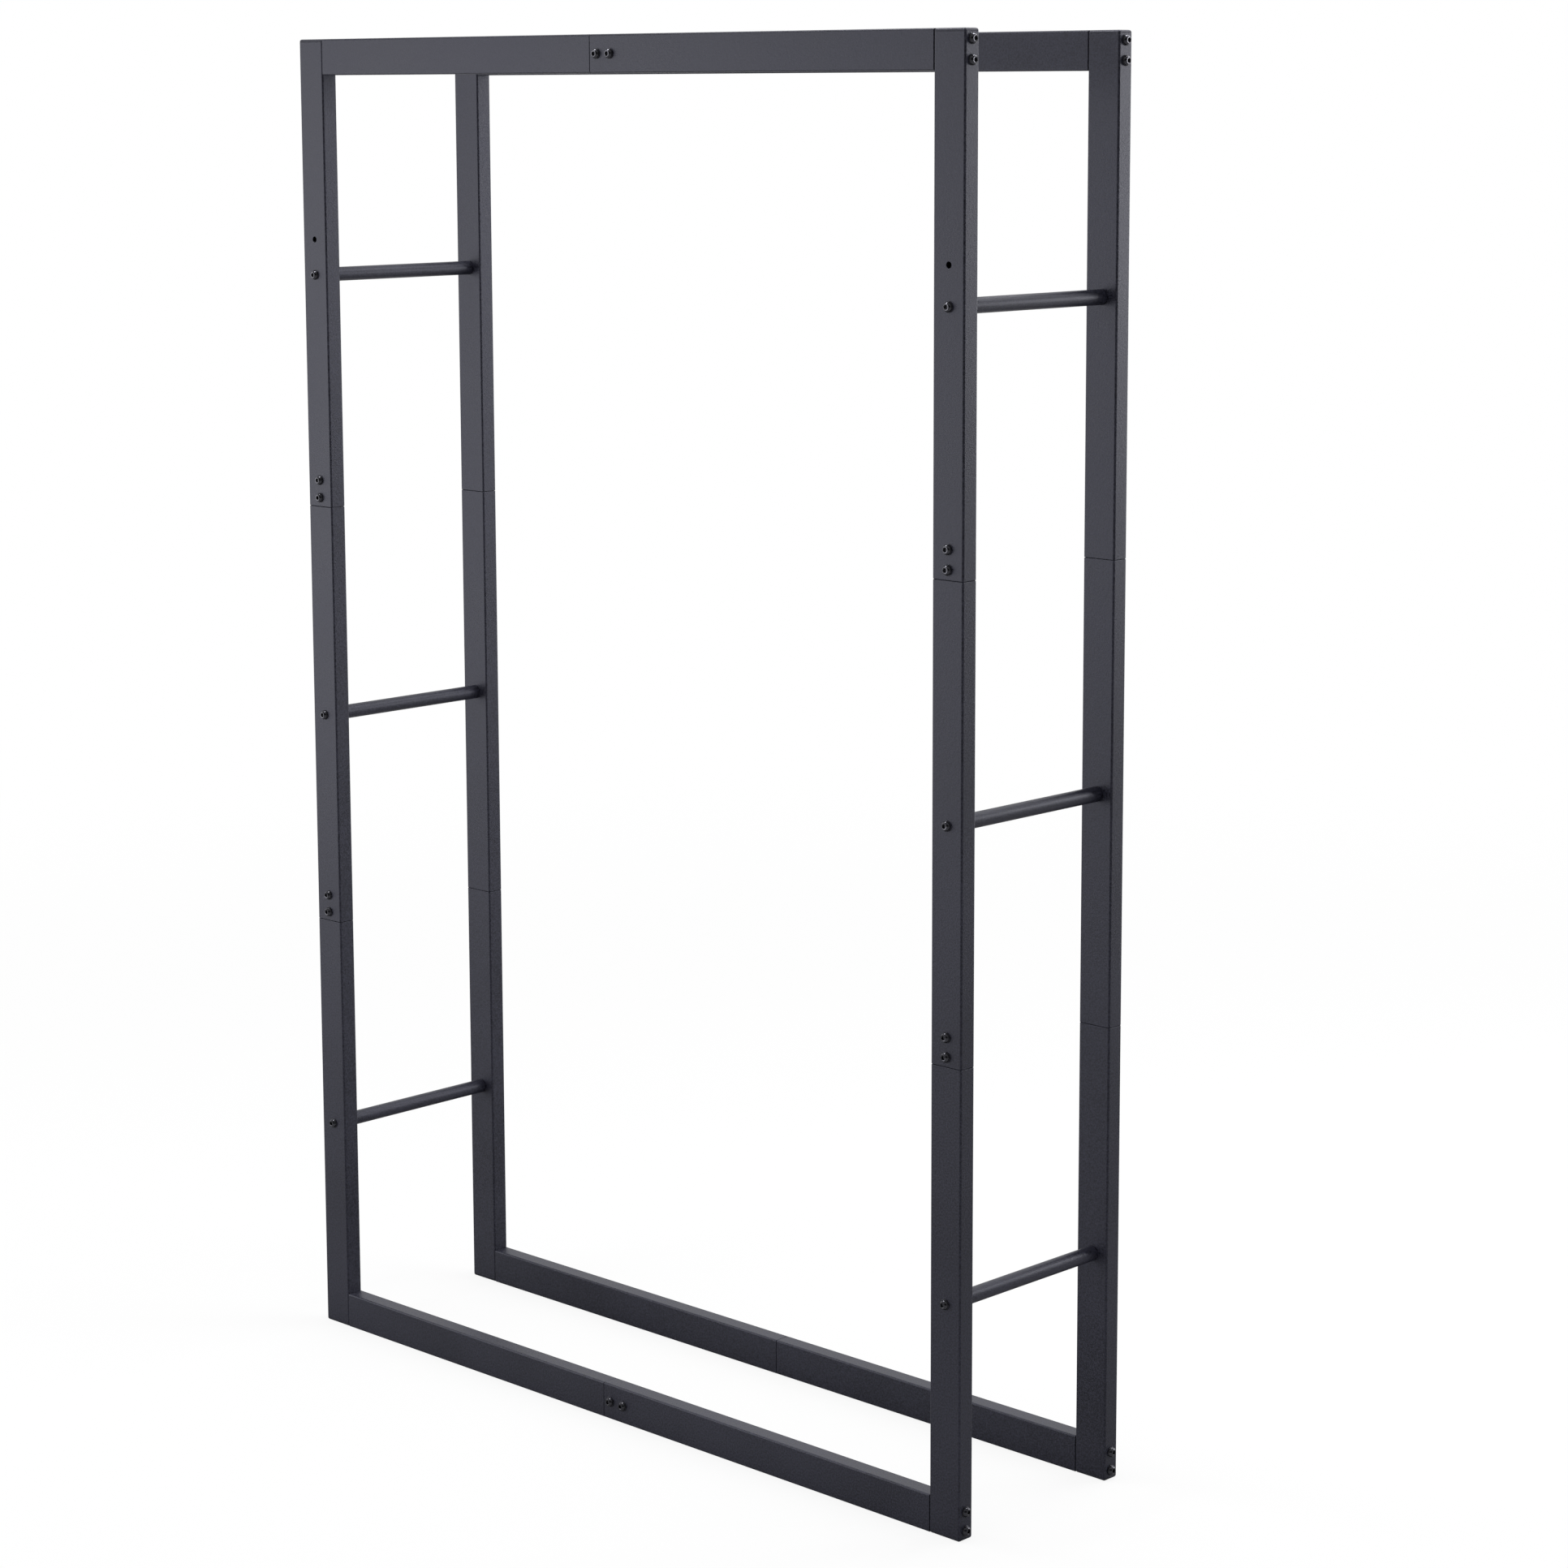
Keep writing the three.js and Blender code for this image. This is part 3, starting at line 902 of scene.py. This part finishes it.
# %% [markdown]
# ## Rungs
# A rung is the same plain tube with a round outline, which is a rounded rectangle as wide as it is
# deep, with corners of half its width. It has no holes: its screws go into a plug at each end.

# %% Make the rungs
RUNG = 16 * MM
RUNG_WALL = 1.2 * MM
rung_length = 2 * (half_depth - SIDE - GAP)
rung_sizes = {
    "Length": rung_length,
    "Face": RUNG,
    "Side": RUNG,
    "Corner": RUNG / 2,
    "Wall": RUNG_WALL,
}
no_holes = facing_points("no_holes", [])
for name in rung_tubes:
    mesh = run_tree(plain_tube, rung_sizes, powder_coat, holes=no_holes)
    add_piece(name + "_tube", mesh, [name], rung_place(name))
bpy.data.objects.remove(no_holes)
print("rungs:", len(rung_tubes), f"of {rung_length / MM:.1f} mm")

# %% [markdown]
# ## Screws and washers
# A button head screw has a turned profile and a hexagon socket. In the rows, a number from 0 to 1
# turns a circle into a hexagon, so the socket needs no boolean. Three trees with other sizes would
# do for the three lengths, but it is one tree and the length is an input. Each screw was turned
# until it was tight, and not until its socket lined up, so each has its own random turn.

# %% Tree for the screws
SCREW_SIZES = {
    "Thread": 6.0 * MM,
    "Length": 10.0 * MM,
    "Head": 10.5 * MM,
    "Head height": 3.3 * MM,
    "Crown": 6.6 * MM,  # the flat on top of the dome
    "Socket": 4.0 * MM,
    "Socket depth": 2.2 * MM,
    "Seat": 1.02 * MM,  # the top of the washer that the head lies on
}
LAND, BEVEL = 0.45 * MM, 0.25 * MM  # the head's straight rim, and the bevels of rim and socket
CHAMFER = 0.2  # of the shank's radius, at its tip
DOME_STEPS = 7
DRILLED_WIDTH = 0.55  # of the socket's, where the drill that opened it shows at its bottom
DRILLED_RIM, DRILLED_POINT = 0.2 * MM, 0.7 * MM  # how far the drill went below the bottom
TURN_SEED = 6


def screw_tree():
    tree, inputs = new_tree("screws", SCREW_SIZES)
    shank, head, crown = inputs["Thread"] / 2, inputs["Head"] / 2, inputs["Crown"] / 2
    seat_height, top = inputs["Seat"], inputs["Seat"] + inputs["Head height"]
    tip = seat_height - inputs["Length"]
    socket = inputs["Socket"] / (2 * math.cos(SIXTH / 2))
    bottom = top - inputs["Socket depth"]
    rows = [(0.0, tip, 0.0), (shank * (1 - CHAMFER), tip, 0.0), (shank, tip + shank * CHAMFER, 0.0)]
    rows += [(shank, seat_height, 0.0), (head - BEVEL, seat_height, 0.0)]
    rows += [(head, seat_height + BEVEL, 0.0), (head, seat_height + LAND, 0.0)]
    dome = top - seat_height - LAND
    drop = (head * head - crown * crown - dome * dome) / (dome * 2)  # ball's centre under the dome
    ball = (head * head + drop * drop) ** 0.5
    for step in range(1, DOME_STEPS + 1):
        height = dome * step / DOME_STEPS
        radius = (ball * ball - (height + drop) * (height + drop)) ** 0.5
        rows.append((radius, seat_height + LAND + height, 0.0))
    rows += [(socket + BEVEL, top, 0.0), (socket + BEVEL * 0.3, top - BEVEL * 0.5, 0.5)]
    rows += [(socket, top - BEVEL, 1.0), (socket, bottom, 1.0)]
    rows += [(socket * DRILLED_WIDTH, bottom - DRILLED_RIM, 0.0)]
    rows += [(0.0, bottom - DRILLED_POINT, 0.0)]
    screw = wrap(tree, rows, ROUND_COLUMNS, round_outline)
    settings, sockets = {"data_type": "FLOAT"}, {"Max": math.tau, "Seed": TURN_SEED}
    turn = add(tree, "FunctionNodeRandomValue", settings, sockets, output=1)
    end_tree(tree, on_points(tree, inputs["Points"], screw, turn), inputs["Material"])
    return tree


screws = screw_tree()

# %% Tree for the washers
WASHER_SIZES = {
    "Hole": 6.4 * MM,
    "Washer": 11.0 * MM,
    "Thickness": 1.0 * MM,
    "Edge": 0.3 * MM,
    "Lift": 0.02 * MM,  # a hair off the tube, so that the two don't share a plane
}


def washer_tree():
    tree, inputs = new_tree("washers", WASHER_SIZES)
    hole, rim, edge = inputs["Hole"] / 2, inputs["Washer"] / 2, inputs["Edge"]
    low, high = inputs["Lift"], inputs["Lift"] + inputs["Thickness"]
    rows = [(rim - edge * (1 - s), low + edge * (1 - c), 0.0) for s, c in quarter_turn()]
    rows += [(rim - edge * (1 - c), high - edge * (1 - s), 0.0) for s, c in quarter_turn()]
    bevel = edge * 0.5
    rows += [(hole + bevel, high, 0.0), (hole, high - bevel, 0.0), (hole, low, 0.0)]
    washer = wrap(tree, rows, ROUND_COLUMNS, round_outline, ring=True)
    end_tree(tree, on_points(tree, inputs["Points"], washer), inputs["Material"])
    return tree


washers = washer_tree()

# %% Seat them
def add_screws(name, seats, length, fixings):
    mesh = run_tree(screws, {"Length": length}, screw_steel, seats)
    print(name, len(seats), "of", round(length / MM), "mm,", len(mesh.polygons), "faces")
    add_piece(name, mesh, fixings)


splices, corners, rung_ends = (nodes_named(kind) for kind in ("splice", "corner", "rung"))
add_screws("splice_screws", splice_seats, 10 * MM, splices)
add_screws("corner_screws", corner_seats, 50 * MM, corners)
add_screws("rung_screws", rung_seats, 35 * MM, rung_ends)
washer_mesh = run_tree(washers, {}, washer_steel, splice_seats + corner_seats + rung_seats)
add_piece("washers", washer_mesh, splices + corners + rung_ends)

# %% [markdown]
# ## What the screws go into
# Nothing in here shows on the finished rack, but the screws need something to bite. A splice has a
# flat bar with two tapped holes behind its wall, the end of a rail is closed by a tapped plate, and
# each end of a rung by a round plug. All three are lengths of bar with holes, so one tree makes
# them. The sizes of its inputs are those of the flat bar.

# %% Tree for drilled bar
NUT_PLATE, NUT_PLATE_LENGTH = 3 * MM, 32 * MM
BAR_SIZES = {
    "Length": NUT_PLATE_LENGTH,
    "Face": 12 * MM,
    "Side": NUT_PLATE,
    "Corner": 0.5 * MM,
    "Edge": 0.3 * MM,
    "Hole diameter": 6.1 * MM,
    "Hole rim": 0.3 * MM,
    "Hole depth": 16 * MM,
}


def bar_tree():
    tree, inputs = new_tree("tapped_bar", BAR_SIZES)
    length, edge = inputs["Length"], inputs["Edge"]
    rows = [(0.0, 0.0, 0.0), *rise(0.0, 0.0, edge), *fall(0.0, length, edge), (0.0, length, 0.0)]
    face, side, corner = inputs["Face"], inputs["Side"], inputs["Corner"]
    outline = tube_outline(tree, face, side, corner, corner)
    bar = drilled(tree, wrap(tree, rows, TUBE_COLUMNS, outline), inputs)
    end_tree(tree, on_points(tree, inputs["Points"], bar), inputs["Material"])
    return tree


tapped_bar = bar_tree()

# %% Nut plates, end plates and plugs
SPLICE_DEPTH = 2 * WALL + 2 * GAP  # from the face of a tube to a nut plate in its splice
END_PLATE = 4 * MM
RUNG_PLUG = 15 * MM


def add_bars(name, seats, sizes, holes, fixings):
    drill = facing_points("drill", holes)
    mesh = run_tree(tapped_bar, sizes, plate_steel, seats, drill)
    bpy.data.objects.remove(drill)
    print(name, len(seats), "with", len(mesh.polygons), "faces")
    add_piece(name, mesh, fixings)


def nut_plate_seat(name):
    """One end of the plate, facing along the tube that it is in."""
    way, along = facing_of(name), along_of(name)
    inset = SPLICE_DEPTH + NUT_PLATE / 2
    return seat(centre_of(name), way) - way * inset - along * (NUT_PLATE_LENGTH / 2), along


def end_plate_seat(name):
    """The face of the plate that meets the post, facing into the rail."""
    way = facing_of(name)
    return seat(centre_of(name), way) - way * (FACE + GAP), -way


def plug_seat(place, way):
    """The face of the plug that meets the post, facing into the rung."""
    return place - way * (SIDE + GAP), -way


nut_holes = [(Vector((0, -NUT_PLATE / 2, NUT_PLATE_LENGTH / 2 + step)), FRONT) for step in PAIR]
add_bars("nut_plates", [nut_plate_seat(name) for name in splices], {}, nut_holes, splices)

walls = 2 * (WALL + GAP)
bore = {"Face": FACE - walls, "Side": SIDE - walls, "Corner": CORNER - WALL}
end_sizes = {"Length": END_PLATE, **bore}
end_holes = [(Vector((step, 0, END_PLATE)), UP) for step in PAIR]
add_bars("end_plates", [end_plate_seat(name) for name in corners], end_sizes, end_holes, corners)

width = RUNG - 2 * (RUNG_WALL + GAP)
plug_sizes = {"Length": RUNG_PLUG, "Face": width, "Side": width, "Corner": width / 2}
plug_hole = [(Vector((0, 0, RUNG_PLUG)), UP)]
add_bars("rung_plugs", [plug_seat(*s) for s in rung_seats], plug_sizes, plug_hole, rung_ends)

# %% [markdown]
# ## Moulded plugs
# Feet and caps are one moulding: a flange as wide as the tube, with a rounded edge, and a hollow
# skirt with three barbs that grip the bore. The barbs lean, as moulded barbs do, so that the plug
# goes in more easily than it comes out. The rows go up the outside and come back down the hollow.

# %% Tree for a plug
PLUG_SIZES = {
    "Face": FACE,
    "Side": SIDE,
    "Corner": CORNER,
    "Wall": WALL,
    "Flange": 3.05 * MM,
    "Flange edge": 2.5 * MM,
    "Skirt end": 6.7 * MM,
    "Skirt wall": 1.5 * MM,
    "Barb": 0.4 * MM,
    "Play": GAP,
}
BARBS = 3
BARB_REACH = 0.8  # of the pitch of the barbs, which a barb slopes over
SOFT_EDGE, SOFT_END = 0.1 * MM, 0.2 * MM  # bevels of the flange and the barbs, and of the skirt


def plug_tree():
    tree, inputs = new_tree("plug", PLUG_SIZES)
    flange, barb, end = inputs["Flange"], inputs["Barb"], inputs["Skirt end"]
    tight = inputs["Wall"] + inputs["Play"]
    skirt = tight + barb
    step = (end - flange) / (BARBS + 0.5)
    rows = [(0.0, 0.0, 0.0), *rise(0.0, 0.0, inputs["Flange edge"])]
    rows += [(0.0, flange - SOFT_EDGE, 1.0), (SOFT_EDGE, flange, 1.0), (skirt, flange, 1.0)]
    for number in range(BARBS):
        root = flange + step * (number + 0.5)
        rows += [(skirt, root, 1.0), (tight, root + SOFT_EDGE, 1.0)]
        rows += [(skirt, root + step * BARB_REACH, 1.0)]
    rows += [(skirt, end - SOFT_END, 1.0), (skirt + SOFT_END, end, 1.0)]
    hollow = skirt + inputs["Skirt wall"]
    rows += [(hollow, end, 1.0), (hollow, flange, 1.0), (0.0, flange, 0.0)]
    outline = tube_outline(tree, inputs["Face"], inputs["Side"], inputs["Corner"], inputs["Wall"])
    end_tree(tree, wrap(tree, rows, TUBE_COLUMNS, outline), inputs["Material"])
    return tree


moulded_plug = plug_tree()

# %% Feet and caps
for name in nodes_named("foot", "cap"):
    (low, high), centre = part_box(name), centre_of(name)
    on_top = name.startswith("cap")
    place = Matrix.Translation((centre.x, centre.y, high.z if on_top else low.z))
    place = place @ Matrix.Rotation(math.pi if on_top else 0, 4, "X")
    mesh = run_tree(moulded_plug, {"Skirt end": high.z - low.z}, moulded_plastic)
    add_piece(name + "_plug", mesh, [name], place)
print("plugs:", len(nodes_named("foot", "cap")))

# %% [markdown]
# ## Closing the lesson
# Colours are shown as they are, without a film look.

# %% Finish
scene.view_settings.view_transform = "Standard"
